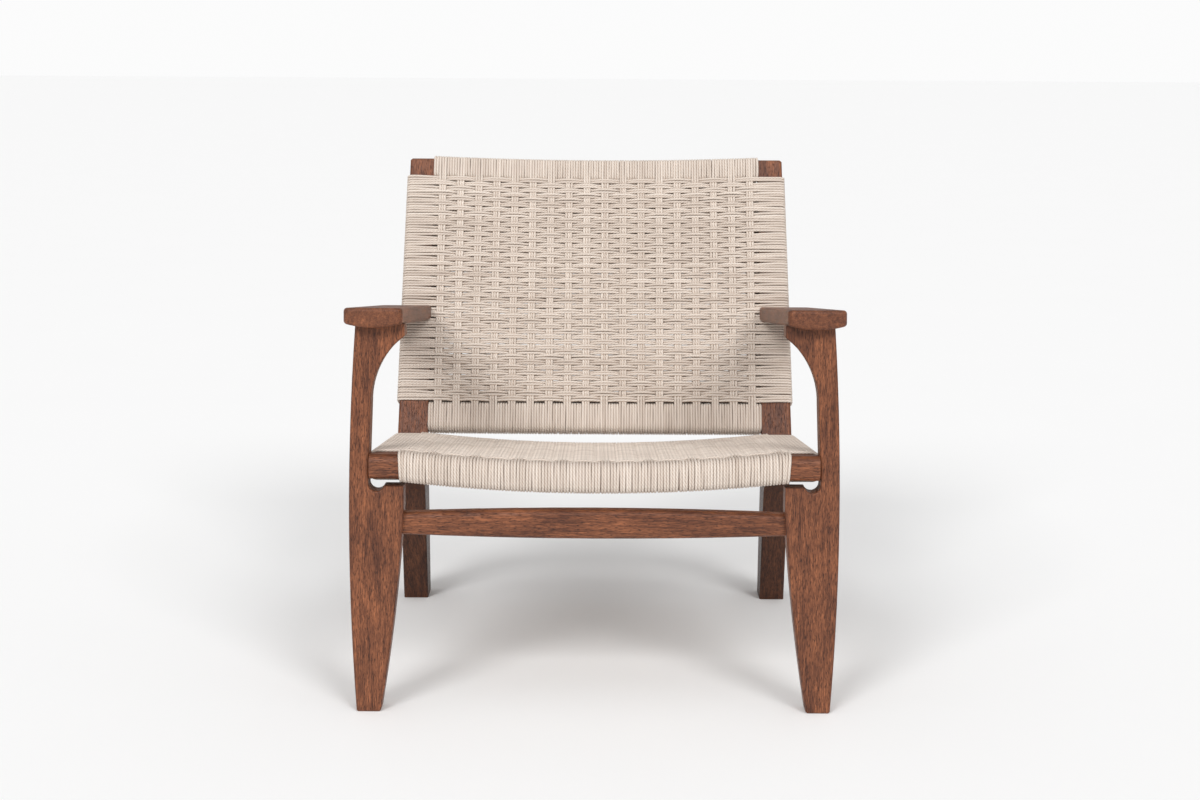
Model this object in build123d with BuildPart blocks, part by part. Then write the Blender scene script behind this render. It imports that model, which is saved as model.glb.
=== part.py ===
from build123d import *
import math
import os

# A low lounge armchair: a hardwood frame with a woven paper-cord seat and back.
# Millimetres. +Z is up, the chair faces -Y, and X = 0 is its plane of symmetry.
# The origin is on the floor, under the middle of the chair's bounding box.
# "left" is the -X side. Depths behind the front of the armrests are turned into Y by y_at().

overall_width = 690
overall_depth = 670
overall_height = 740

# Cord, as the thickness of one layer of it.
cord = 4.2

# Front legs: wide planks that narrow to a stem beside the seat.
leg_lean = 2.7
front_leg_thick = 36
leg_foot_outer = 332.6
leg_foot_inner = 300
leg_widest_outer = 342
leg_widest_z = 262
leg_top_outer = 330.4
leg_top_z = 560
leg_calf_inner = 279
leg_calf_z = 142
leg_shoulder_z = 321
leg_thigh_z = 290
leg_inner = 265.5
stem_inner = 314.6
stem_foot_z = 325
stem_neck_inner = 310.3
stem_neck_z = 437
notch_radius = 11
arm_neck_inner = 263
arm_neck_z = 531
arm_neck_bend = (302.2, 480)
edge_round = 3
foot_round = 2

# Rear legs: boomerang planks under the seat, with a horn behind each back post.
rear_leg_inner = 278.5
rear_leg_outer = 319
horn_taper_z = 255
horn_taper = 9.5

# Armrests.
arm_inner = 264
arm_outer = 345
arm_top_front_z = 573
arm_slope = 7.2
arm_edge_thick = 21.5
arm_crown = 6
arm_corner = 9
arm_round = 5

# Seat frame, set out along its own sloping plane.
seat_slope = 7.2
seat_front_depth = 5.7
seat_front_z = 368
seat_outer = 313
seat_wrap_x = 273
seat_rail_thick = 35
seat_rail_wide = 38
side_rail_wide = 42
seat_dip = 15.5
seat_front = 4
seat_rear = 430

# Back frame, set out along its own reclined plane.
back_recline = 23.3
back_foot_depth = 444
back_foot_z = 313
post_inner = 265
post_outer_low = 313
post_outer_high = 304
post_thick = 28
post_bottom = -25.2
post_top = 461
horn_top = 46
top_bow = 17
bottom_bow = 2
bottom_rail_low = 8.5
bottom_rail_high = 49
top_rail_low = 431
top_rail_high = 462.8
weave_low = 56
weave_high = 433
back_rail_round = 5

# Stretchers.
stretcher_z = 265.6
stretcher_mid_tall = 42
stretcher_end_tall = 30.5
stretcher_thick = 26
stretcher_depth = 34
rear_stretcher_z = 214
rear_stretcher_depth = 600
tenon_radius = 9
tenon_long = 24

dowel_radius = 4
peg_radius = 5

SIDES = {"left": -1, "right": 1}

os.makedirs("parts", exist_ok=True)


def y_at(depth):
    """The Y of a point that lies depth behind the front of the armrests."""
    return depth - overall_depth / 2


def write(piece, name):
    """Labels a finished piece and writes it as its own STEP file."""
    piece.part.label = name
    export_step(piece.part, f"parts/{name}.step")


def tilted(depth, z, degrees_down):
    """A plane whose local Y runs rearward and down, with X unchanged and its normal up."""
    a = math.radians(degrees_down)
    return Plane(origin=(0, y_at(depth), z), x_dir=(1, 0, 0), z_dir=(0, math.sin(a), math.cos(a)))


def upright(depth, z, lean):
    """A plane whose local Y runs up and rearward by lean degrees, with its normal forward."""
    a = math.radians(lean)
    return Plane(origin=(0, y_at(depth), z), x_dir=(1, 0, 0), z_dir=(0, -math.cos(a), math.sin(a)))


def across(plane, at):
    """A plane across a frame plane at a distance along it, with local axes X and the frame's normal."""
    return Plane(origin=plane.from_local_coords(Vector(0, at, 0)), x_dir=(1, 0, 0), z_dir=-plane.y_dir)


seat_plane = tilted(seat_front_depth, seat_front_z, seat_slope)
back_plane = upright(back_foot_depth, back_foot_z, back_recline)
leg_plane = upright(0, 0, leg_lean)
arm_plane = tilted(0, arm_top_front_z, arm_slope)
floor_plane = Plane.XY


# Dowels and pegs. They are made first, so that each wooden piece is bored to take them.


def pegs(places, radius, length):
    """One node of separate round pegs. places holds (plane of the peg's middle, whose Z is its axis)."""
    with BuildPart() as group:
        for place in places:
            with Locations(Location(place)):
                Cylinder(radius, length)
    return group


def along(plane, x, y, z, axis):
    """A plane at local x, y, z of another plane, with its Z along that plane's local axis."""
    to_world = {"x": plane.x_dir, "y": plane.y_dir, "z": plane.z_dir}
    return Plane(origin=plane.from_local_coords(Vector(x, y, z)), z_dir=to_world[axis])


seat_corner_x = (seat_outer - side_rail_wide + 6, seat_outer - side_rail_wide + 19)
seat_frame_dowels = pegs(
    [
        along(seat_plane, side * x, s, -seat_rail_thick / 2, "y")
        for side in (-1, 1)
        for x in seat_corner_x
        for s in (seat_front + seat_rail_wide, seat_rear - seat_rail_wide)
    ],
    dowel_radius,
    40,
)

back_corner_s = (
    bottom_rail_low + 12,
    bottom_rail_high - 12,
    top_rail_low + 9,
    top_rail_high - 9,
)
back_frame_dowels = pegs(
    [along(back_plane, side * post_inner, s, -post_thick / 2, "x") for side in (-1, 1) for s in back_corner_s],
    dowel_radius,
    40,
)

arm_front_dowels = pegs(
    [
        along(leg_plane, side * x, arm_neck_z + 10, -front_leg_thick / 2, "y")
        for side in (-1, 1)
        for x in (284, 316)
    ],
    peg_radius,
    34,
)

arm_fall = math.tan(math.radians(arm_slope))
arm_rear_rise = arm_top_front_z - arm_edge_thick / 2 - back_foot_z - back_foot_depth * arm_fall
arm_rear_s = arm_rear_rise / (back_plane.y_dir.Z + back_plane.y_dir.Y * arm_fall)
arm_rear_dowels = pegs(
    [along(back_plane, side * 288, arm_rear_s, 1, "z") for side in (-1, 1)],
    peg_radius,
    44,
)

seat_to_front_leg_dowels = pegs(
    [along(seat_plane, side * seat_outer, 29, -seat_rail_thick / 2, "x") for side in (-1, 1)],
    peg_radius,
    30,
)

seat_to_rear_leg_dowels = pegs(
    [along(seat_plane, side * 300, seat_rear - 19, -seat_rail_thick, "z") for side in (-1, 1)],
    peg_radius,
    38,
)

back_to_rear_leg_dowels = pegs(
    [along(back_plane, side * 290, s, -post_thick, "z") for side in (-1, 1) for s in (-6, 28)],
    peg_radius,
    36,
)


# Front legs.


def make_front_leg(side):
    notch_edge = stem_inner - 2 * notch_radius + 0.75
    with BuildPart() as leg:
        with BuildSketch(leg_plane):
            with BuildLine():
                ThreePointArc(
                    (leg_foot_outer, -5), (leg_widest_outer, leg_widest_z), (leg_top_outer, leg_top_z)
                )
                Line((leg_top_outer, leg_top_z), (arm_neck_inner, leg_top_z))
                Line((arm_neck_inner, leg_top_z), (arm_neck_inner, arm_neck_z))
                ThreePointArc((arm_neck_inner, arm_neck_z), arm_neck_bend, (stem_neck_inner, stem_neck_z))
                Line((stem_neck_inner, stem_neck_z), (stem_inner, stem_foot_z))
                ThreePointArc(
                    (stem_inner, stem_foot_z),
                    (stem_inner - notch_radius, stem_foot_z - notch_radius),
                    (notch_edge, leg_shoulder_z),
                )
                Line((notch_edge, leg_shoulder_z), (leg_inner, leg_shoulder_z))
                Line((leg_inner, leg_shoulder_z), (leg_inner, leg_thigh_z))
                ThreePointArc((leg_inner, leg_thigh_z), (leg_calf_inner, leg_calf_z), (leg_foot_inner, -5))
                Line((leg_foot_inner, -5), (leg_foot_outer, -5))
            make_face()
            if side < 0:
                mirror(about=Plane.YZ, mode=Mode.REPLACE)
        extrude(amount=-front_leg_thick)
        rims = leg.faces().filter_by(lambda f: abs(f.normal_at().dot(leg_plane.z_dir)) > 0.99).edges()
        soft = rims.filter_by(lambda e: e.length > 60 and abs((e @ 0.5).Z - leg_top_z) > 5)
        fillet(soft, edge_round)
        split(bisect_by=floor_plane, keep=Keep.TOP)
        chamfer(leg.edges().filter_by_position(Axis.Z, -0.1, 0.1), foot_round)
        split(bisect_by=arm_plane.offset(-arm_edge_thick - 1), keep=Keep.BOTTOM)
        bore_tenon = along(Plane.XY, side * (leg_inner + 12), y_at(stretcher_depth), stretcher_z, "x")
        with Locations(Location(bore_tenon)):
            Cylinder(tenon_radius, 30, mode=Mode.SUBTRACT)
        add(arm_front_dowels.part, mode=Mode.SUBTRACT)
        add(seat_to_front_leg_dowels.part, mode=Mode.SUBTRACT)
    return leg


front_legs = {name: make_front_leg(side) for name, side in SIDES.items()}


# Rear legs.


def make_rear_leg(side):
    a = math.radians(back_recline)
    up = (math.sin(a), math.cos(a))
    seat_a = math.radians(seat_slope)
    rail_front = seat_plane.from_local_coords(Vector(0, seat_rear - seat_rail_wide, -seat_rail_thick))
    rail_rear = seat_plane.from_local_coords(Vector(0, seat_rear, -seat_rail_thick))
    post_front = back_plane.from_local_coords(Vector(0, post_bottom, 0))
    post_rear = back_plane.from_local_coords(Vector(0, post_bottom, -post_thick))
    horn = horn_top - post_bottom
    horn_front = (post_rear.Y + horn * up[0], post_rear.Z + horn * up[1])
    lip = 9
    lip_top = (rail_rear.Y + lip * math.sin(seat_a), rail_rear.Z + lip * math.cos(seat_a))
    toe = (rail_front.Y, rail_front.Z - 34)
    knee = (y_at(558), 196)
    heel = (y_at(643), 180)
    horn_rear = (horn_front[0] + 28, horn_front[1] - 12)
    lean = math.radians(horn_taper)
    taper = Plane(
        origin=(side * rear_leg_outer, 0, horn_taper_z), z_dir=(side * math.cos(lean), 0, math.sin(lean))
    )
    with BuildPart() as leg:
        with BuildSketch(Plane.YZ.offset(side * (rear_leg_inner + rear_leg_outer) / 2)):
            with BuildLine():
                Line((y_at(606), 0), knee)
                ThreePointArc(knee, (y_at(505), 236), toe)
                Line(toe, (rail_front.Y, rail_front.Z))
                Line((rail_front.Y, rail_front.Z), (rail_rear.Y, rail_rear.Z))
                Line((rail_rear.Y, rail_rear.Z), lip_top)
                Line(lip_top, (post_front.Y, post_front.Z))
                Line((post_front.Y, post_front.Z), (post_rear.Y, post_rear.Z))
                Line((post_rear.Y, post_rear.Z), horn_front)
                Line(horn_front, horn_rear)
                ThreePointArc(horn_rear, (y_at(592), 276), heel)
                ThreePointArc(heel, (y_at(655), 90), (y_at(662), 0))
                Line((y_at(662), 0), (y_at(606), 0))
            make_face()
        extrude(amount=(rear_leg_outer - rear_leg_inner) / 2, both=True)
        split(bisect_by=taper, keep=Keep.BOTTOM)
        rear_edges = leg.edges().filter_by(lambda e: e.length > 100 and (e @ 0.5).Y > y_at(560))
        fillet(rear_edges, edge_round)
        bore_tenon = along(
            Plane.XY, side * (rear_leg_inner + 12), y_at(rear_stretcher_depth), rear_stretcher_z, "x"
        )
        with Locations(Location(bore_tenon)):
            Cylinder(tenon_radius, 26, mode=Mode.SUBTRACT)
        add(seat_to_rear_leg_dowels.part, mode=Mode.SUBTRACT)
        add(back_to_rear_leg_dowels.part, mode=Mode.SUBTRACT)
    return leg


rear_legs = {name: make_rear_leg(side) for name, side in SIDES.items()}


# Stretchers: rails that swell in the middle, with a round tenon at each end.


def make_stretcher(depth, z, shoulder, legs):
    reach = shoulder + 12
    top, end = stretcher_mid_tall / 2, stretcher_end_tall / 2
    with BuildPart() as stretcher:
        with BuildSketch(Plane(origin=(0, y_at(depth), z), x_dir=(1, 0, 0), z_dir=(0, -1, 0))):
            with BuildLine():
                ThreePointArc((-reach, end), (0, top), (reach, end))
                Line((reach, end), (reach, -end))
                ThreePointArc((reach, -end), (0, -top), (-reach, -end))
                Line((-reach, -end), (-reach, end))
            make_face()
        extrude(amount=stretcher_thick / 2, both=True)
        fillet(stretcher.edges().filter_by(GeomType.CIRCLE), 8)
        for leg in legs:
            add(leg.part, mode=Mode.SUBTRACT)
        stray = stretcher.solids().sort_by(SortBy.VOLUME)[:-1]
        for piece in stray:
            add(piece, mode=Mode.SUBTRACT)
        for side in (-1, 1):
            tenon = along(Plane.XY, side * (shoulder - 10 + tenon_long / 2 + 5), y_at(depth), z, "x")
            with Locations(Location(tenon)):
                Cylinder(tenon_radius, tenon_long + 10)
    return stretcher


# Armrests: planks with a flat top and a crowned underside.


def make_armrest(side):
    near, far = side * arm_inner, side * arm_outer
    middle = (near + far) / 2
    low = -arm_edge_thick
    with BuildPart() as arm:
        with BuildSketch(across(arm_plane, 3)):
            with BuildLine():
                Polyline((near, low), (near, 0), (far, 0), (far, low))
                ThreePointArc((far, low), (middle, low - arm_crown), (near, low))
            make_face()
        extrude(amount=-620)
        split(bisect_by=back_plane.offset(cord), keep=Keep.TOP)
        front = arm.faces().sort_by(Axis.Y)[0]
        fillet(front.edges().filter_by(Axis.Z, tolerance=15), arm_corner)
        long_edges = arm.edges().filter_by(lambda e: abs((e % 0.5).dot(arm_plane.y_dir)) > 0.99)
        fillet(long_edges, arm_round)
        add(front_legs["left" if side < 0 else "right"].part, mode=Mode.SUBTRACT)
        add(arm_front_dowels.part, mode=Mode.SUBTRACT)
        add(arm_rear_dowels.part, mode=Mode.SUBTRACT)
    return arm


# Seat frame.


def dished_section(half, dip, thick, over):
    """The section across a dished frame, swollen by over above and below."""
    with BuildSketch(mode=Mode.PRIVATE) as section:
        with BuildLine():
            ThreePointArc((-half, over), (0, over - dip), (half, over))
            Line((half, over), (half, -thick - over))
            ThreePointArc((half, -thick - over), (0, -thick - over - dip), (-half, -thick - over))
            Line((-half, -thick - over), (-half, over))
        make_face()
    return section.sketch


def along_width(part):
    """The long edges of a rail: every edge that runs mostly across the chair."""
    return part.edges().filter_by(lambda e: abs((e % 0.5).X) > 0.9 and e.length > 100)


def make_seat_rail(start, front_round, rear_round):
    with BuildPart() as rail:
        with BuildSketch(across(seat_plane, start)):
            with BuildLine():
                for level in (0, -seat_rail_thick):
                    Line((-seat_outer, level), (-seat_wrap_x, level))
                    ThreePointArc((-seat_wrap_x, level), (0, level - seat_dip), (seat_wrap_x, level))
                    Line((seat_wrap_x, level), (seat_outer, level))
                for end in (-seat_outer, seat_outer):
                    Line((end, 0), (end, -seat_rail_thick))
            make_face()
        extrude(amount=-seat_rail_wide)
        for rear, radius in ((False, front_round), (True, rear_round)):
            rims = rail.edges().filter_by(lambda e: e.length > 30 and abs((e % 0.5).X) > 0.9)
            fillet(rims.filter_by(lambda e: ((e @ 0.5).Y > rail.part.center().Y) == rear), radius)
        add(seat_frame_dowels.part, mode=Mode.SUBTRACT)
        add(seat_to_front_leg_dowels.part, mode=Mode.SUBTRACT)
        add(seat_to_rear_leg_dowels.part, mode=Mode.SUBTRACT)
    return rail


seat_front_rail = make_seat_rail(seat_front, 12, 2.5)
seat_rear_rail = make_seat_rail(seat_rear - seat_rail_wide, 2.5, 8)


def make_side_rail(side):
    start, end = seat_front + seat_rail_wide, seat_rear - seat_rail_wide
    middle = side * (seat_outer - side_rail_wide / 2)
    with BuildPart() as rail:
        with BuildSketch(across(seat_plane, start)):
            with Locations((middle, -seat_rail_thick / 2)):
                RectangleRounded(side_rail_wide, seat_rail_thick, 7)
        extrude(amount=-(end - start))
        add(seat_frame_dowels.part, mode=Mode.SUBTRACT)
        add(cord_tacks.part, mode=Mode.SUBTRACT)
    return rail


# Tacks that hold the ends of the cord on the inner faces of the side rails.

with BuildPart() as cord_tacks:
    for tack_side in (-1, 1):
        for tack_s in (80, 170, 270, 360):
            tack_face = seat_outer - side_rail_wide
            shank = along(seat_plane, tack_side * (tack_face + 6), tack_s, -seat_rail_thick / 2, "x")
            head = along(seat_plane, tack_side * (tack_face - 0.6), tack_s, -seat_rail_thick / 2, "x")
            with Locations(Location(shank)):
                Cylinder(1, 12)
            with Locations(Location(head)):
                Cylinder(3, 1.2)

seat_side_rails = {name: make_side_rail(side) for name, side in SIDES.items()}


# Back frame.


def make_back_post(side):
    with BuildPart() as post:
        with BuildSketch(back_plane):
            with BuildLine():
                Polyline(
                    (post_inner, post_bottom),
                    (post_outer_low, post_bottom),
                    (post_outer_high, post_top),
                    (post_inner, post_top),
                    close=True,
                )
            make_face()
            if side < 0:
                mirror(about=Plane.YZ, mode=Mode.REPLACE)
        extrude(amount=-post_thick)
        outer_edges = post.edges().filter_by(lambda e: e.length > 300 and abs((e @ 0.5).X) > 290)
        fillet(outer_edges, 5)
        top_edge = post.faces().sort_by(Axis.Z)[-1].edges().filter_by(lambda e: abs((e @ 0.5).X) > 295)
        chamfer(top_edge.sort_by(SortBy.LENGTH)[-1], 2.5)
        for group in (back_frame_dowels, arm_rear_dowels, back_to_rear_leg_dowels):
            add(group.part, mode=Mode.SUBTRACT)
    return post


back_posts = {name: make_back_post(side) for name, side in SIDES.items()}


def filled_sleeve(plane, half, outers, dips, thick, ends, sides, over):
    """The filled shape of a woven sleeve, swollen by over: a band round the end rails and one round the sides.

    outers and dips each hold the half width and the dish at the low end of sides and at the high end.
    """
    with BuildPart() as filled:
        with BuildSketch(across(plane, ends[0] - over)):
            add(dished_section(half, dips[0], thick, over))
        with BuildSketch(across(plane, ends[1] + over)):
            add(dished_section(half, dips[1], thick, over))
        loft(ruled=True)
        fillet(along_width(filled), 7 + over)
        with BuildSketch(plane.offset(over)):
            for side in (-1, 1):
                with BuildLine():
                    Polyline(
                        (side * (half - 1), sides[0]),
                        (side * (outers[0] + over), sides[0]),
                        (side * (outers[1] + over), sides[1]),
                        (side * (half - 1), sides[1]),
                        close=True,
                    )
                make_face()
        extrude(amount=-(thick + 2 * over))
    return filled


def post_outer(s):
    """The outer X of the back posts at s along them."""
    share = (s - post_bottom) / (post_top - post_bottom)
    return post_outer_low + (post_outer_high - post_outer_low) * share


back_shape = (
    back_plane,
    post_inner,
    (post_outer(weave_low), post_outer(weave_high)),
    (bottom_bow, top_bow),
    post_thick,
    (bottom_rail_low, top_rail_high),
    (weave_low, weave_high),
)
back_space = filled_sleeve(*back_shape, 0)


def make_back_rail(cut_at, keep):
    """The end of the back sleeve's inside, from cut_at on, between the posts."""
    cut = across(back_plane, cut_at)
    with BuildPart() as rail:
        add(back_space.part)
        split(bisect_by=cut, keep=keep)
        split(bisect_by=Plane.YZ.offset(-post_inner), keep=Keep.TOP)
        split(bisect_by=Plane.YZ.offset(post_inner), keep=Keep.BOTTOM)
        fillet(along_width(rail).filter_by(lambda e: abs(cut.to_local_coords(e @ 0.5).Z) < 0.01), back_rail_round)
        add(back_frame_dowels.part, mode=Mode.SUBTRACT)
    return rail


back_bottom_rail = make_back_rail(bottom_rail_high, Keep.TOP)
back_top_rail = make_back_rail(top_rail_low, Keep.BOTTOM)


# Woven seat and back: one sleeve of cord round each frame, hollow between its two faces.


def make_weave(shape, cutters):
    with BuildPart() as weave:
        add(filled_sleeve(*shape, cord).part)
        add(filled_sleeve(*shape, 0).part, mode=Mode.SUBTRACT)
        for cutter in cutters:
            add(cutter.part, mode=Mode.SUBTRACT)
    return weave


seat_shape = (
    seat_plane,
    seat_wrap_x,
    (seat_outer, seat_outer),
    (seat_dip, seat_dip),
    seat_rail_thick,
    (seat_front, seat_rear),
    (seat_front + seat_rail_wide, seat_rear - seat_rail_wide),
)
seat_frame = (seat_front_rail, seat_rear_rail, *seat_side_rails.values())
seat_weave = make_weave(seat_shape, (*seat_frame, *front_legs.values(), *rear_legs.values()))
back_weave = make_weave(back_shape, (arm_rear_dowels,))

front_stretcher = make_stretcher(stretcher_depth, stretcher_z, leg_inner, front_legs.values())
rear_stretcher = make_stretcher(rear_stretcher_depth, rear_stretcher_z, rear_leg_inner, rear_legs.values())
armrests = {name: make_armrest(side) for name, side in SIDES.items()}

pairs = {
    "front_leg": front_legs,
    "rear_leg": rear_legs,
    "armrest": armrests,
    "seat_side_rail": seat_side_rails,
    "back_post": back_posts,
}
for pair_name, pair in pairs.items():
    for side_name, piece in pair.items():
        write(piece, f"{pair_name}_{side_name}")

singles = {
    "front_stretcher": front_stretcher,
    "rear_stretcher": rear_stretcher,
    "seat_front_rail": seat_front_rail,
    "seat_rear_rail": seat_rear_rail,
    "back_top_rail": back_top_rail,
    "back_bottom_rail": back_bottom_rail,
    "seat_frame_dowels": seat_frame_dowels,
    "back_frame_dowels": back_frame_dowels,
    "arm_front_dowels": arm_front_dowels,
    "arm_rear_dowels": arm_rear_dowels,
    "seat_to_front_leg_dowels": seat_to_front_leg_dowels,
    "seat_to_rear_leg_dowels": seat_to_rear_leg_dowels,
    "back_to_rear_leg_dowels": back_to_rear_leg_dowels,
    "cord_tacks": cord_tacks,
    "seat_weave": seat_weave,
    "back_weave": back_weave,
}
for single_name, piece in singles.items():
    write(piece, single_name)
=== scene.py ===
"""A low hardwood lounge chair whose seat and back are sleeves of woven paper cord.

The wooden pieces are the CAD frame's own, with oiled hardwood finishes. The cords of the seat and
the back are made here, strand by strand, over the rails that the frame gives.
Lengths are in metres and angles in radians, as Blender keeps them.
"""

import math

import bpy
import numpy as np
from mathutils import Euler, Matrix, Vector


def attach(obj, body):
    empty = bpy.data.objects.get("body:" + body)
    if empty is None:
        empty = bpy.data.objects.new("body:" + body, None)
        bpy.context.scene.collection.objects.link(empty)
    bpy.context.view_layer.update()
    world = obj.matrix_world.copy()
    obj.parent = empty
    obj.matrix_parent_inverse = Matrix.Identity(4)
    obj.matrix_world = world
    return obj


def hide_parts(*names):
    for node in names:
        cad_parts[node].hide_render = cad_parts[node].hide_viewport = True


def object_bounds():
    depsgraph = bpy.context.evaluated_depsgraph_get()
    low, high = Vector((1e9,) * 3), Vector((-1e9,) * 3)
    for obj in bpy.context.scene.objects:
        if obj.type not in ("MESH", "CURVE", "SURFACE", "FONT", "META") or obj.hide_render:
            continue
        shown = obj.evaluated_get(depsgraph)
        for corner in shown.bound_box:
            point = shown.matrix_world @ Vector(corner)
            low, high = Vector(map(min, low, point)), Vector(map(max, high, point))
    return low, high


bl_info = {
    "name": "Paper cord lounge chair",
    "version": (1, 0, 0),
    "blender": (4, 5, 0),
    "location": "View3D > Sidebar > Chair",
    "description": "Finishes the wood and weaves the cord of a lounge chair on its CAD frame",
    "category": "Add Mesh",
}

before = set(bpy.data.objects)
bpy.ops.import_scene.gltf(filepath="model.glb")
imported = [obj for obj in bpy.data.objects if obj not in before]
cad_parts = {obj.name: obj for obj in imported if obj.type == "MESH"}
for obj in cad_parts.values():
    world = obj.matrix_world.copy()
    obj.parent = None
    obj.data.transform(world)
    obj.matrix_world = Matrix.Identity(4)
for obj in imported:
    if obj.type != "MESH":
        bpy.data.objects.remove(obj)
cad_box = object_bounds()

MM = 0.001
CORD_MATERIAL = "twisted_paper_cord"
BEND_STEPS = 4


# Sizes and colours that a user would change.


class CordSettings(bpy.types.PropertyGroup):
    diameter: bpy.props.FloatProperty(
        name="Diameter", description="Thickness of one cord", default=0.0043, unit="LENGTH"
    )
    facets: bpy.props.IntProperty(
        name="Facets", description="Sides of each cord's tube", default=6, min=5
    )
    lay: bpy.props.FloatProperty(
        name="Lay",
        description="Length in which a ply goes once round the cord",
        default=0.0165,
        unit="LENGTH",
    )
    wander: bpy.props.FloatProperty(
        name="Wander",
        description="How far a cord strays from its line",
        default=0.00032,
        unit="LENGTH",
    )
    pale: bpy.props.FloatVectorProperty(
        name="Pale cord",
        description="Colour of the palest cords",
        default=(0.85, 0.755, 0.67),
        subtype="COLOR",
    )
    tan: bpy.props.FloatVectorProperty(
        name="Tan cord",
        description="Colour of the darkest cords",
        default=(0.56, 0.46, 0.385),
        subtype="COLOR",
    )


class WoodSettings(bpy.types.PropertyGroup):
    dark: bpy.props.FloatVectorProperty(
        name="Dark grain",
        description="Colour of the late wood",
        default=(0.022, 0.0075, 0.005),
        subtype="COLOR",
    )
    middle: bpy.props.FloatVectorProperty(
        name="Heartwood",
        description="Main colour of the wood",
        default=(0.135, 0.043, 0.02),
        subtype="COLOR",
    )
    light: bpy.props.FloatVectorProperty(
        name="Light grain",
        description="Colour of the pale streaks",
        default=(0.42, 0.15, 0.062),
        subtype="COLOR",
    )
    sheen: bpy.props.FloatProperty(
        name="Roughness",
        description="Roughness of the oiled surface",
        default=0.42,
        subtype="FACTOR",
    )


class StageSettings(bpy.types.PropertyGroup):
    distance: bpy.props.FloatProperty(
        name="Camera distance",
        description="From the armrests' fronts",
        default=2.936,
        unit="LENGTH",
    )
    height: bpy.props.FloatProperty(
        name="Camera height", description="Above the floor", default=0.97, unit="LENGTH"
    )
    tilt: bpy.props.FloatProperty(
        name="Camera tilt", description="Downwards", default=math.radians(9.15), unit="ROTATION"
    )
    lens: bpy.props.FloatProperty(
        name="Lens", description="Focal length in millimetres for a 36 mm wide sensor", default=65.1
    )
    floor: bpy.props.FloatVectorProperty(
        name="Floor", description="Colour of the floor", default=(0.96, 0.96, 0.96), subtype="COLOR"
    )


# Materials.


class Value:
    """A number that varies over a surface. Python's operators add Math nodes to its material."""

    def __init__(self, shop, socket):
        self.shop = shop
        self.socket = socket

    def __add__(self, other):
        return self.shop.math("ADD", self, other)

    def __sub__(self, other):
        return self.shop.math("SUBTRACT", self, other)

    def __rsub__(self, other):
        return self.shop.math("SUBTRACT", other, self)

    def __mul__(self, other):
        return self.shop.math("MULTIPLY", self, other)

    __radd__ = __add__

    def clip(self, low, high):
        """0 below low, 1 above high, and a straight rise between."""
        inputs = {"Value": self, "From Min": low, "From Max": high}
        return self.shop.node("ShaderNodeMapRange", {"clamp": True}, inputs)

    def sine(self):
        return self.shop.math("SINE", self)

    def size(self):
        return self.shop.math("ABSOLUTE", self)


class Shop:
    """One material and its nodes."""

    def __init__(self, name, roughness, **constants):
        self.material = bpy.data.materials.new(name)
        self.material.use_nodes = True
        self.tree = self.material.node_tree
        self.surface = self.tree.nodes["Principled BSDF"]
        self.surface.inputs["Roughness"].default_value = roughness
        for socket, value in constants.items():
            self.surface.inputs[socket.replace("_", " ")].default_value = value

    def feed(self, socket, value):
        if isinstance(value, Value):
            self.tree.links.new(value.socket, socket)
        elif hasattr(value, "__len__") and socket.type == "RGBA":
            socket.default_value = (*value, 1.0)
        else:
            socket.default_value = value

    def node(self, kind, settings, inputs, output=0):
        """Adds a node: its settings first, then its sockets' values or links."""
        made = self.tree.nodes.new(kind)
        for key, value in settings.items():
            setattr(made, key, value)
        for key, value in inputs.items():
            self.feed(made.inputs[key], value)
        return Value(self, made.outputs[output])

    def math(self, operation, first, second=0.0):
        return self.node("ShaderNodeMath", {"operation": operation}, {0: first, 1: second})

    def mix(self, factor, first, second):
        """A colour between two others. Numbers name its sockets, since other types share names."""
        inputs = {"Factor": factor, 6: first, 7: second}
        return self.node("ShaderNodeMix", {"data_type": "RGBA"}, inputs, 2)

    def place(self):
        """Where a point is on the object, in metres."""
        return self.node("ShaderNodeTexCoord", {}, {}, 3)

    def board(self, grain):
        """Where a point is on the object, turned so that the wood's fibres run along x."""
        turn = Vector(grain).rotation_difference(Vector((1, 0, 0))).to_euler()
        return self.node("ShaderNodeMapping", {}, {"Vector": self.place(), "Rotation": turn})

    def noise(self, vector, scale, detail=3.0, roughness=0.5):
        inputs = {"Vector": vector, "Scale": scale, "Detail": detail, "Roughness": roughness}
        return self.node("ShaderNodeTexNoise", {}, inputs)

    def fibrous(self, board, along, across, detail=3.0, roughness=0.5):
        """Noise with its own periods to the metre along and across the fibres."""
        inputs = {0: board, 1: (along, across, across)}
        stretched = self.node("ShaderNodeVectorMath", {"operation": "MULTIPLY"}, inputs)
        return self.noise(stretched, 1.0, detail, roughness)

    def use(self, colour, roughness, height, depth):
        """Connects what varies to the surface."""
        self.feed(self.surface.inputs["Base Color"], colour)
        self.feed(self.surface.inputs["Roughness"], roughness)
        inputs = {"Height": height, "Distance": depth, "Strength": 1.0}
        bump = self.node("ShaderNodeBump", {}, inputs)
        self.feed(self.surface.inputs["Normal"], bump)
        return self.material


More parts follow.
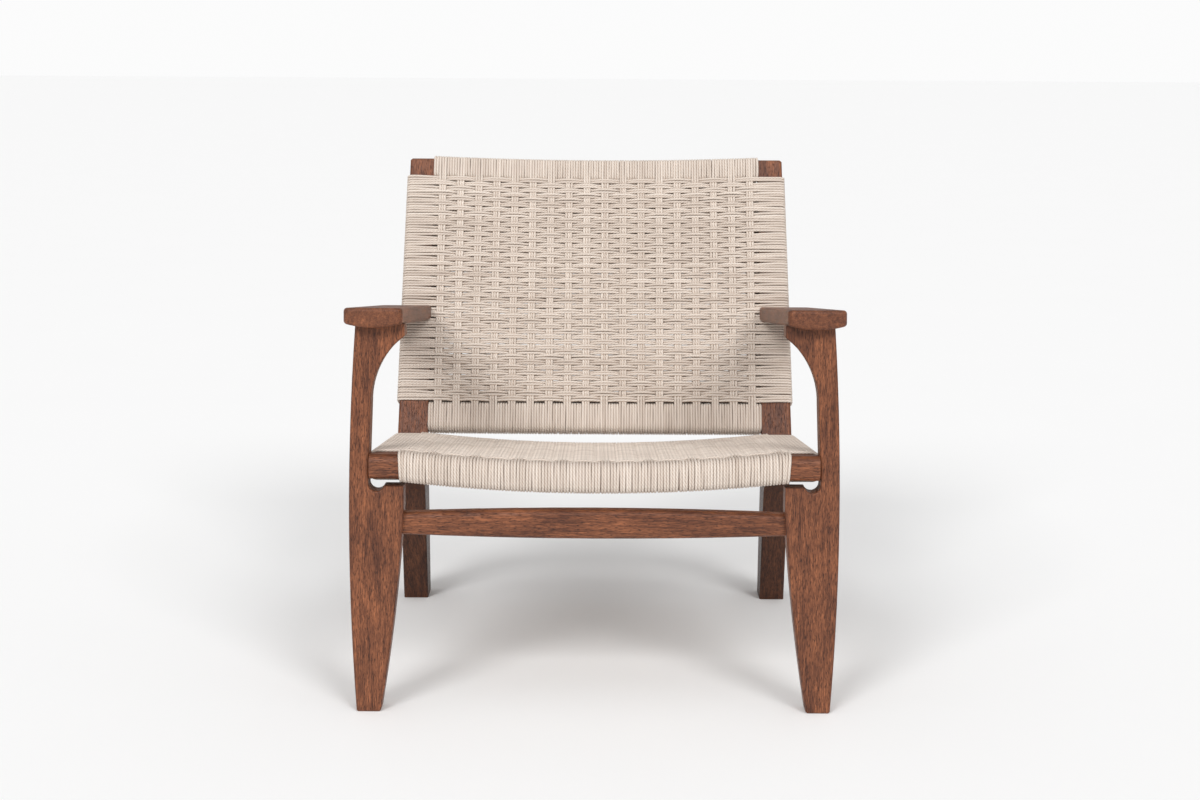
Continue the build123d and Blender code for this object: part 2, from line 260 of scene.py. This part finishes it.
def oiled_wood(name, grain, settings, shade):
    """Dark red-brown open-pored hardwood whose fibres run along grain; shade below 1 darkens it as
    painted shade.
    """
    tones = (settings.dark, settings.middle, settings.light)
    dark, middle, light = ([channel * shade for channel in tone] for tone in tones)
    shop = Shop(name, settings.sheen, IOR=1.5, Specular_IOR_Level=0.35)
    board = shop.board(grain)
    sway = shop.fibrous(board, 2.2, 9.0, 2.0)
    across = shop.node("ShaderNodeSeparateXYZ", {}, {"Vector": board}, 1) + sway * 0.03
    ring_phase = across * 900.0 + shop.fibrous(board, 5.0, 40.0) * 8.0
    rings = ring_phase.sine() * 0.5 + 0.5
    clouds = shop.fibrous(board, 9.0, 26.0, 3.0, 0.6).clip(0.34, 0.66)
    streaks = shop.fibrous(board, 13.0, 190.0, 3.0, 0.65).clip(0.32, 0.68)
    fibres = shop.fibrous(board, 70.0, 760.0, 3.0, 0.6).clip(0.34, 0.68)
    pores = shop.fibrous(board, 150.0, 1150.0, 2.0).clip(0.55, 0.66)
    pale_share = clouds * 0.3 + streaks * 0.32 + fibres * 0.5 + rings * 0.06 - 0.28
    dark_share = (1 - streaks) * 0.26 + (1 - clouds) * 0.22 + (1 - fibres) * 0.3 - 0.14
    colour = shop.mix(pale_share, middle, light)
    colour = shop.mix(dark_share, colour, dark)
    colour = shop.mix(pores * 0.8, colour, dark)
    rough = settings.sheen + fibres * 0.08 + pores * 0.2 - 0.04
    relief = fibres * 0.35 - pores + rings * 0.1
    return shop.use(colour, rough, relief, 0.22 * MM)


def bare_beech(name, grain):
    """Pale close-grained wood of the hidden dowels."""
    shop = Shop(name, 0.6)
    flecks = shop.fibrous(shop.board(grain), 60.0, 900.0)
    colour = shop.mix(flecks, (0.52, 0.34, 0.19), (0.68, 0.49, 0.3))
    return shop.use(colour, flecks * 0.1 + 0.55, flecks, 0.1 * MM)


def blued_steel(name):
    """Dull blued steel of the tacks."""
    shop = Shop(name, 0.4, Metallic=1.0)
    cloud = shop.noise(shop.place(), 900.0, 2.0)
    colour = shop.mix(cloud, (0.16, 0.17, 0.19), (0.32, 0.32, 0.32))
    return shop.use(colour, cloud * 0.25 + 0.3, cloud, 0.03 * MM)


def paper_cord(settings):
    """Three-ply twisted paper, made when it is first wanted.

    The cord's own UV map runs round it in turns and along it in metres. tone is its paleness.
    """
    made = bpy.data.materials.get(CORD_MATERIAL)
    if made:
        return made
    shop = Shop(CORD_MATERIAL, 0.8, IOR=1.45, Specular_IOR_Level=0.3)
    run = shop.node("ShaderNodeUVMap", {"uv_map": "cord_run"}, {})
    round_it = shop.node("ShaderNodeSeparateXYZ", {}, {"Vector": run}, 0)
    along_it = shop.node("ShaderNodeSeparateXYZ", {}, {"Vector": run}, 1)
    tone = shop.node("ShaderNodeAttribute", {"attribute_name": "tone"}, {}, 2)
    place = shop.place()
    stain = shop.noise(place, 14.0, 3.0, 0.6)
    fibre = shop.noise(place, 1500.0, 2.0)
    plies = 3.0
    ply = ((round_it * plies + along_it * (plies / settings.lay)) * math.pi).sine().size()
    # Painted shade: the grooves between the plies are darkened towards a deep tan.
    painted_groove_shade = 1 - ply.clip(0.0, 0.55)
    paleness = tone * 0.62 + stain * 0.5 + fibre * 0.22 - 0.17
    colour = shop.mix(paleness, settings.tan, settings.pale)
    colour = shop.mix(painted_groove_shade * 0.36, colour, [channel * 0.42 for channel in settings.tan])
    return shop.use(colour, fibre * 0.12 + 0.74, ply * 0.9 + fibre * 0.12, 0.6 * MM)


# Cords.


class Sleeve:
    """A dished frame that cord is wound on.

    x runs across it, s along it, and h stands out of its face. half is its dish's half width.
    dips and outers are the dish's depth and the half width over the sides, at s 0 and at length.
    """

    def __init__(self, origin, along, normal, length, half, dips, outers, thick):
        self.origin = np.array(origin)
        self.along = np.array(along)
        self.normal = np.array(normal)
        self.length = length
        self.half = half
        self.dips = dips
        self.outers = outers
        self.thick = thick

    def place(self, x, s, h):
        """World places of points on the sleeve, whose face is hollowed between its side rails."""
        dip = np.interp(s, (0, self.length), self.dips)
        sag = -dip * np.clip(1 - (x / self.half) ** 2, 0, None)
        out = np.outer(s, self.along) + np.outer(h + sag, self.normal) + self.origin
        out[:, 0] += x
        return out


def ring_path(low, high, thick, radius, gap, straight_step):
    """A closed path round a rounded bar: place along it, height and which way is outwards.

    The bar reaches from low to high and from 0 down to -thick. radius holds its corners' radii at
    the low and the high end, and the path keeps gap away from it.
    """
    a, h, out_a, out_h = [], [], [], []

    def line(start, end, height, way):
        count = max(2, int(abs(end - start) / straight_step))
        for t in np.linspace(0, 1, count, endpoint=False):
            a.append(start + (end - start) * t)
            h.append(height)
            out_a.append(0.0)
            out_h.append(way)

    def turn(centre_a, centre_h, bend, first):
        for step in range(BEND_STEPS):
            angle = first - math.pi / 2 * step / BEND_STEPS
            a.append(centre_a + math.cos(angle) * (bend + gap))
            h.append(centre_h + math.sin(angle) * (bend + gap))
            out_a.append(math.cos(angle))
            out_h.append(math.sin(angle))

    near, far = radius
    line(low + near, high - far, gap, 1.0)
    turn(high - far, -far, far, math.pi / 2)
    turn(high - far, -thick + far, far, 0.0)
    line(high - far, low + near, -thick - gap, -1.0)
    turn(low + near, -thick + near, near, -math.pi / 2)
    turn(low + near, -near, near, -math.pi)
    return np.array(a), np.array(h), np.array(out_a), np.array(out_h)


def drift(rng, where, amount, wavelength):
    """A smooth random wander along a cord."""
    total = np.zeros_like(where)
    for octave in (1.0, 2.3):
        phase = rng.uniform(0, math.tau)
        total += np.sin(where * math.tau * octave / wavelength + phase) / octave
    return total * amount * rng.uniform(0.4, 1.0)


class Skein:
    """Closed cords gathered into one mesh, with a UV map and a tone for each."""

    def __init__(self, name, radius, facets):
        self.name = name
        self.radius = radius
        self.facets = facets
        self.points, self.quads, self.uvs, self.tones = [], [], [], []
        self.count = 0

    def wind(self, path, side, tone):
        """Adds one closed cord. side is a direction that the cord never runs along."""
        ring, facets = len(path), self.facets
        ahead = np.roll(path, -1, axis=0)
        along = ahead - np.roll(path, 1, axis=0)
        along /= np.linalg.norm(along, axis=1)[:, None]
        across = np.array(side)[None, :] - (along @ np.array(side))[:, None] * along
        across /= np.linalg.norm(across, axis=1)[:, None]
        up = np.cross(along, across)
        angles = np.arange(facets) * math.tau / facets
        cosines, sines = np.cos(angles)[None, :, None], np.sin(angles)[None, :, None]
        offsets = cosines * across[:, None] + sines * up[:, None]
        self.points.append((path[:, None] + offsets * self.radius).reshape(-1, 3))
        i = np.arange(ring)[:, None]
        j = np.arange(facets)[None, :]
        i_next, j_next = (i + 1) % ring, (j + 1) % facets
        here, there = i * facets, i_next * facets
        corners = [here + j, here + j_next, there + j_next, there + j]
        self.quads.append(np.stack(corners, axis=-1).reshape(-1, 4) + self.count)
        run = np.concatenate([[0.0], np.cumsum(np.linalg.norm(ahead - path, axis=1))])
        u0 = np.broadcast_to(j / facets, (ring, facets))
        u1 = u0 + 1 / facets
        v0 = np.broadcast_to(run[:-1, None], (ring, facets))
        v1 = np.broadcast_to(run[1:, None], (ring, facets))
        uv = np.stack([u0, v0, u1, v0, u1, v1, u0, v1], axis=-1)
        self.uvs.append(uv.reshape(-1, 2))
        self.tones.append(np.full(ring * facets, tone))
        self.count += ring * facets

    def finish(self, material, slot, node):
        """Makes the skein an object that stands for a CAD node."""
        points = np.concatenate(self.points)
        quads = np.concatenate(self.quads)
        mesh = bpy.data.meshes.new(self.name)
        mesh.vertices.add(len(points))
        mesh.vertices.foreach_set("co", points.astype(np.float32).ravel())
        mesh.loops.add(quads.size)
        mesh.loops.foreach_set("vertex_index", quads.astype(np.int32).ravel())
        mesh.polygons.add(len(quads))
        mesh.polygons.foreach_set("loop_start", np.arange(0, quads.size, 4, dtype=np.int32))
        mesh.update(calc_edges=True)
        mesh.polygons.foreach_set("use_smooth", np.ones(len(quads), dtype=bool))
        layer = mesh.uv_layers.new(name="cord_run")
        layer.uv.foreach_set("vector", np.concatenate(self.uvs).astype(np.float32).ravel())
        tone = mesh.attributes.new("tone", "FLOAT", "POINT")
        tone.data.foreach_set("value", np.concatenate(self.tones).astype(np.float32))
        mesh.validate()
        mesh.materials.append(material)
        piece = bpy.data.objects.new(self.name, mesh)
        bpy.context.collection.objects.link(piece)
        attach(piece, "root")
        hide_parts(node)


class Weave:
    """A basket weave on a sleeve: groups of three warps, and rows of two wefts over and under them.

    Cord is wound round the end rails between the groups too, so there are seven turns to a group.
    rails gives each end rail's low side, high side and corner radii. corner and side_corner are the
    radii that the warps and the wefts bend round.
    """

    groups = 18
    warps = 3
    turns = 7
    warp_squareness = 1.1
    weft_squareness = 1.7
    swing_share = 0.92
    warp_pinch = 0.07
    weft_gap = 0.25
    weft_squeeze = 0.1
    outermost_slant = 2.2 * MM
    slant_spread = 0.3 * MM

    def __init__(self, name, sleeve, span, rails, corner, side_corner, rows, seed):
        self.name = name
        self.sleeve = sleeve
        self.span = span
        self.rails = rails
        self.corner = corner
        self.side_corner = side_corner
        self.rows = rows
        self.rng = np.random.default_rng(seed)
        self.cord = bpy.context.scene.chair_cord
        self.radius = self.cord.diameter / 2
        self.period = 2 * sleeve.half / self.groups
        self.pitch = self.period / self.turns
        self.row = (span[1] - span[0]) / rows
        self.swing = self.radius * self.swing_share

    def tone(self):
        return float(np.clip(self.rng.normal(0.6, 0.2), 0, 1))

    def skein(self, part):
        return Skein(f"{self.name}_{part}", self.radius, self.cord.facets)

    def group_place(self, group):
        return (group + 0.5 - self.groups / 2) * self.period

    def warp_lift(self, group, s):
        """How far a warp stands out of the weave's middle, in swings, at s."""
        wave = np.cos((s - self.span[0] - self.row / 2) * math.pi / self.row)
        flat = np.tanh(self.warp_squareness * wave) / math.tanh(self.warp_squareness)
        inside = np.clip((s - self.span[0]) / (self.row / 2), 0, 1)
        inside *= np.clip((self.span[1] - s) / (self.row / 2), 0, 1)
        return flat * inside * (1 if group % 2 else -1)

    def weft_lift(self, row, x):
        """How far a weft stands out of the weave's middle, in swings, at x."""
        wave = np.cos((x - self.group_place(0)) * math.pi / self.period)
        flat = np.tanh(self.weft_squareness * wave) / math.tanh(self.weft_squareness)
        inside = np.clip((self.sleeve.half - np.abs(x)) / (self.period * 0.42), 0, 1)
        return flat * inside * (-1 if row % 2 else 1)

    def warp(self, group, strand, skein):
        """One warp, once round the whole frame."""
        sleeve = self.sleeve
        low, high = self.rails[0][0], self.rails[1][1]
        step = self.row / 3
        path = ring_path(low, high, sleeve.thick, self.corner, self.radius, step)
        s, h, out_s, out_h = path
        offset = strand - (self.warps - 1) / 2
        ease = 20 * MM
        woven = np.clip((s - self.span[0]) / ease, 0, 1) * np.clip((self.span[1] - s) / ease, 0, 1)
        x = self.group_place(group) + offset * self.pitch * (1 - self.warp_pinch * woven)
        x = x + drift(self.rng, s + h, self.cord.wander, 0.16)
        lift = self.warp_lift(group, s) * self.swing
        cord = sleeve.place(x, s + out_s * lift, h + out_h * lift)
        skein.wind(cord, (1, 0, 0), self.tone())

    def wrap(self, rail, x, slant, skein):
        """One turn of cord round one end rail."""
        low, high, radius = rail
        path = ring_path(low, high, self.sleeve.thick, radius, self.radius, 6 * MM)
        s, h, out_s, out_h = path
        stray = drift(self.rng, s + h, self.cord.wander * 0.8, 0.1)
        x = x + stray + slant * h / self.sleeve.thick
        cord = self.sleeve.place(np.broadcast_to(x, s.shape), s, h)
        skein.wind(cord, (1, 0, 0), self.tone())

    def weft(self, row, strand, skein):
        """One weft, once across the front face and back behind it."""
        rng, sleeve, wander = self.rng, self.sleeve, self.cord.wander
        middle = self.span[0] + (row + 0.5) * self.row
        reach = float(np.interp(middle, (0, sleeve.length), sleeve.outers))
        corners = (self.side_corner, self.side_corner)
        path = ring_path(-reach, reach, sleeve.thick, corners, self.radius, self.pitch)
        x, h, out_x, out_h = path
        pair = -self.weft_gap if strand == 0 else self.weft_gap
        s = self.span[0] + (row + 0.5 + pair) * self.row
        s = s + rng.normal(0, wander * 0.5) + drift(rng, x, wander * 1.3, 0.23)
        lift = self.weft_lift(row, x)
        # Beyond the outermost group each row leans on its neighbour, so slits part the pairs.
        edge = np.clip((np.abs(x) - sleeve.half + self.period * 0.55) / 0.012, 0, 1)
        edge *= np.clip((sleeve.half + 0.026 - np.abs(x)) / 0.03, 0, 1)
        outermost = np.where(x < 0, self.group_place(0), self.group_place(self.groups - 1))
        under = self.weft_lift(row, outermost) < 0
        s = s + edge * np.where(under, -1.15 * MM, 0.25 * MM) * rng.uniform(0.6, 1.25)
        crossing = (1 - np.abs(lift)) * (np.abs(x) < sleeve.half)
        s = s - pair * self.row * self.weft_squeeze * crossing
        lift = lift * self.swing
        cord = sleeve.place(x + out_x * lift, s, h + out_h * lift)
        skein.wind(cord, tuple(sleeve.along), self.tone())

    def make(self, node):
        """Winds every cord, as pieces of a size that can be handled."""
        material = paper_cord(self.cord)
        half = self.groups // 2
        for side, groups in (("left", range(half)), ("right", range(half, self.groups))):
            skein = self.skein(f"warp_cords_{side}")
            for group in groups:
                for strand in range(self.warps):
                    self.warp(group, strand, skein)
            skein.finish(material, "paper_cord", node)
        middle = self.rows // 2
        for end, rows in (("low", range(middle)), ("high", range(middle, self.rows))):
            skein = self.skein(f"weft_cords_{end}")
            for row in rows:
                for strand in range(2):
                    self.weft(row, strand, skein)
            skein.finish(material, "paper_cord", node)
        skein = self.skein("rail_wraps")
        total = self.groups * self.turns
        for turn in range(total):
            place_in_group = turn % self.turns - self.turns // 2
            if abs(place_in_group) <= (self.warps - 1) / 2:
                continue
            x = (turn + 0.5 - total / 2) * self.pitch
            outermost = turn < 2 or turn > total - 3
            for rail in self.rails:
                slant = self.rng.normal(0, self.slant_spread)
                slant += math.copysign(self.outermost_slant, x) if outermost else 0
                self.wrap(rail, x, slant, skein)
        skein.finish(material, "paper_cord", node)


# Operators: one for each piece or group of like pieces.


SEAT_SLOPE = 7.2
BACK_LEAN = 23.3
FRONT_LEG_LEAN = 2.7
REAR_LEG_WAY = (0.0, 0.35, -0.94)
# Painted shade: the rear legs' wood colours are multiplied by this for the shadow that the seat
# casts on them.
REAR_LEG_PAINTED_SHADE = 0.42


class ChairOperator:
    bl_options = {"REGISTER", "UNDO"}


def slanted(degrees):
    """Unit vectors of a frame that leans back by degrees: up it, and out of its front face."""
    a = math.radians(degrees)
    return (0.0, math.sin(a), math.cos(a)), (0.0, -math.cos(a), math.sin(a))


def paint(nodes, material):
    for name in nodes:
        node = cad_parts[name]
        node.data.materials.clear()
        node.data.materials.append(material)


class CHAIR_OT_finish_wood(ChairOperator, bpy.types.Operator):
    """Gives every wooden piece its oiled finish, with the fibres along the piece"""

    bl_idname = "chair.finish_wood"
    bl_label = "Finish the wood"

    def execute(self, context):
        settings = context.scene.chair_wood
        leg_way = slanted(FRONT_LEG_LEAN)[0]
        post_way = slanted(BACK_LEAN)[0]
        seat_way = slanted(90 + SEAT_SLOPE)[0]
        rails = (
            "front_stretcher",
            "rear_stretcher",
            "seat_front_rail",
            "seat_rear_rail",
            "back_top_rail",
            "back_bottom_rail",
        )
        kinds = {
            "leg_wood": (leg_way, 1.0, ("front_leg_left", "front_leg_right")),
            # The rear legs' wood is darkened with painted shade for the seat's shadow.
            "rear_leg_wood_painted_shade": (REAR_LEG_WAY, REAR_LEG_PAINTED_SHADE, ("rear_leg_left", "rear_leg_right")),
            "arm_wood": (seat_way, 1.0, ("armrest_left", "armrest_right")),
            "post_wood": (post_way, 1.0, ("back_post_left", "back_post_right")),
            "side_rail_wood": (seat_way, 1.0, ("seat_side_rail_left", "seat_side_rail_right")),
            "rail_wood": ((1.0, 0.0, 0.0), 1.0, rails),
        }
        for name, (grain, shade, nodes) in kinds.items():
            paint(nodes, oiled_wood(name, grain, settings, shade))
        return {"FINISHED"}


class CHAIR_OT_finish_joinery(ChairOperator, bpy.types.Operator):
    """Finishes the hidden dowels and tacks"""

    bl_idname = "chair.finish_joinery"
    bl_label = "Finish the joinery"

    def execute(self, context):
        dowels = {
            "x": ("back_frame_dowels", "seat_to_front_leg_dowels"),
            "y": ("seat_frame_dowels", "arm_rear_dowels", "back_to_rear_leg_dowels"),
            "z": ("arm_front_dowels", "seat_to_rear_leg_dowels"),
        }
        for axis, nodes in dowels.items():
            grain = [float(axis == other) for other in "xyz"]
            paint(nodes, bare_beech(f"dowel_wood_{axis}", grain))
        paint(("cord_tacks",), blued_steel("tack_steel"))
        return {"FINISHED"}


class CHAIR_OT_weave_seat(ChairOperator, bpy.types.Operator):
    """Weaves the seat's cords over the seat frame"""

    bl_idname = "chair.weave_seat"
    bl_label = "Weave the seat"

    def execute(self, context):
        along, normal = slanted(90 + SEAT_SLOPE)
        origin = (0.0, cad_box[0].y + 5.7 * MM, 368 * MM)
        dips, outers = (15.5 * MM, 15.5 * MM), (313 * MM, 313 * MM)
        sleeve = Sleeve(origin, along, normal, 434 * MM, 273 * MM, dips, outers, 35 * MM)
        front_rail = (4 * MM, 42 * MM, (12 * MM, 4 * MM))
        rear_rail = (392 * MM, 430 * MM, (4 * MM, 8 * MM))
        weave = Weave(
            "seat",
            sleeve,
            span=(43 * MM, 391 * MM),
            rails=(front_rail, rear_rail),
            corner=(12 * MM, 8 * MM),
            side_corner=7 * MM,
            rows=40,
            seed=4,
        )
        weave.make("seat_weave")
        return {"FINISHED"}


class CHAIR_OT_weave_back(ChairOperator, bpy.types.Operator):
    """Weaves the back's cords over the back frame"""

    bl_idname = "chair.weave_back"
    bl_label = "Weave the back"

    def execute(self, context):
        along, normal = slanted(BACK_LEAN)
        origin = (0.0, cad_box[0].y + 444 * MM, 313 * MM)
        dips, outers = (2 * MM, 17 * MM), (312.5 * MM, 304 * MM)
        sleeve = Sleeve(origin, along, normal, 461 * MM, 265 * MM, dips, outers, 28 * MM)
        bottom_rail = (8.5 * MM, 49 * MM, (7 * MM, 7 * MM))
        top_rail = (431 * MM, 462.8 * MM, (7 * MM, 7 * MM))
        weave = Weave(
            "back",
            sleeve,
            span=(53 * MM, 431 * MM),
            rails=(bottom_rail, top_rail),
            corner=(7 * MM, 7 * MM),
            side_corner=5 * MM,
            rows=44,
            seed=9,
        )
        weave.make("back_weave")
        return {"FINISHED"}


class CHAIR_OT_set_stage(ChairOperator, bpy.types.Operator):
    """Sets the floor, the studio light and the camera"""

    bl_idname = "chair.set_stage"
    bl_label = "Set the stage"

    def sun(self, name, azimuth, elevation, strength, softness):
        """Adds a soft, distant light. Azimuth is measured from the front, towards +X."""
        bpy.ops.object.light_add(type="SUN", location=(0, 0, 4))
        light = bpy.context.object
        light.name = name
        light.data.energy = strength
        light.data.angle = math.radians(softness)
        light.rotation_euler = (math.radians(90 - elevation), 0, math.radians(azimuth))

    def sky(self, context, light, look):
        """A white studio that may be brighter to look at than it is as a light."""
        world = bpy.data.worlds.new("studio")
        context.scene.world = world
        world.use_nodes = True
        tree = world.node_tree
        ray = tree.nodes.new("ShaderNodeLightPath")
        level = tree.nodes.new("ShaderNodeMapRange")
        level.inputs["To Min"].default_value = light
        level.inputs["To Max"].default_value = look
        tree.links.new(ray.outputs["Is Camera Ray"], level.inputs["Value"])
        shade = tree.nodes["Background"]
        shade.inputs["Color"].default_value = (1.0, 1.0, 1.0, 1.0)
        tree.links.new(level.outputs[0], shade.inputs["Strength"])

    def execute(self, context):
        settings = context.scene.chair_stage
        bpy.ops.object.select_all(action="DESELECT")
        bpy.ops.mesh.primitive_plane_add(size=60)
        floor = bpy.context.object
        floor.name = "floor"
        shop = Shop("pale_floor", 0.9)
        cloud = shop.noise(shop.place(), 3.0, 2.0)
        duller = [channel * 0.99 for channel in settings.floor]
        colour = shop.mix(cloud, settings.floor, duller)
        floor.data.materials.append(shop.use(colour, 0.9, cloud, 0.1 * MM))
        self.sky(context, 0.5, 0.97)
        self.sun("left_key", azimuth=-27, elevation=34, strength=1.25, softness=20)
        self.sun("right_key", azimuth=27, elevation=34, strength=1.1, softness=20)
        self.sun("top_fill", azimuth=0, elevation=78, strength=0.3, softness=40)
        yaw, roll = math.radians(-0.13), math.radians(0.33)
        place = (0.0, cad_box[0].y - settings.distance, settings.height)
        bpy.ops.object.camera_add(location=place)
        camera = bpy.context.object
        camera.name = "camera"
        view = Euler((math.pi / 2 - settings.tilt, 0.0, yaw)).to_matrix()
        camera.rotation_euler = (view @ Euler((0.0, 0.0, roll)).to_matrix()).to_euler()
        camera.data.lens = settings.lens
        camera.data.sensor_width = 36
        camera.data.shift_y = -0.03
        camera.data.clip_end = 100
        context.scene.camera = camera
        context.scene.view_settings.view_transform = "Standard"
        return {"FINISHED"}


class CHAIR_PT_sidebar(bpy.types.Panel):
    """Lists the chair's operators"""

    bl_label = "Cord chair"
    bl_idname = "CHAIR_PT_sidebar"
    bl_space_type = "VIEW_3D"
    bl_region_type = "UI"
    bl_category = "Chair"

    def draw(self, context):
        for operator in OPERATORS:
            self.layout.operator(operator.bl_idname)
        for group in SETTINGS.values():
            settings = getattr(context.scene, group)
            for name in settings.bl_rna.properties.keys():
                if name not in ("rna_type", "name"):
                    self.layout.prop(settings, name)


SETTINGS = {CordSettings: "chair_cord", WoodSettings: "chair_wood", StageSettings: "chair_stage"}
OPERATORS = (
    CHAIR_OT_finish_wood,
    CHAIR_OT_finish_joinery,
    CHAIR_OT_weave_seat,
    CHAIR_OT_weave_back,
    CHAIR_OT_set_stage,
)


def register():
    for group, name in SETTINGS.items():
        bpy.utils.register_class(group)
        setattr(bpy.types.Scene, name, bpy.props.PointerProperty(type=group))
    for operator in OPERATORS:
        bpy.utils.register_class(operator)
    bpy.utils.register_class(CHAIR_PT_sidebar)


def unregister():
    bpy.utils.unregister_class(CHAIR_PT_sidebar)
    for operator in reversed(OPERATORS):
        bpy.utils.unregister_class(operator)
    for group, name in SETTINGS.items():
        delattr(bpy.types.Scene, name)
        bpy.utils.unregister_class(group)


def main():
    register()
    bpy.ops.object.select_all(action="DESELECT")
    bpy.ops.chair.finish_wood()
    bpy.ops.chair.finish_joinery()
    bpy.ops.chair.weave_seat()
    bpy.ops.chair.weave_back()
    bpy.ops.chair.set_stage()


if __name__ == "__main__":
    main()
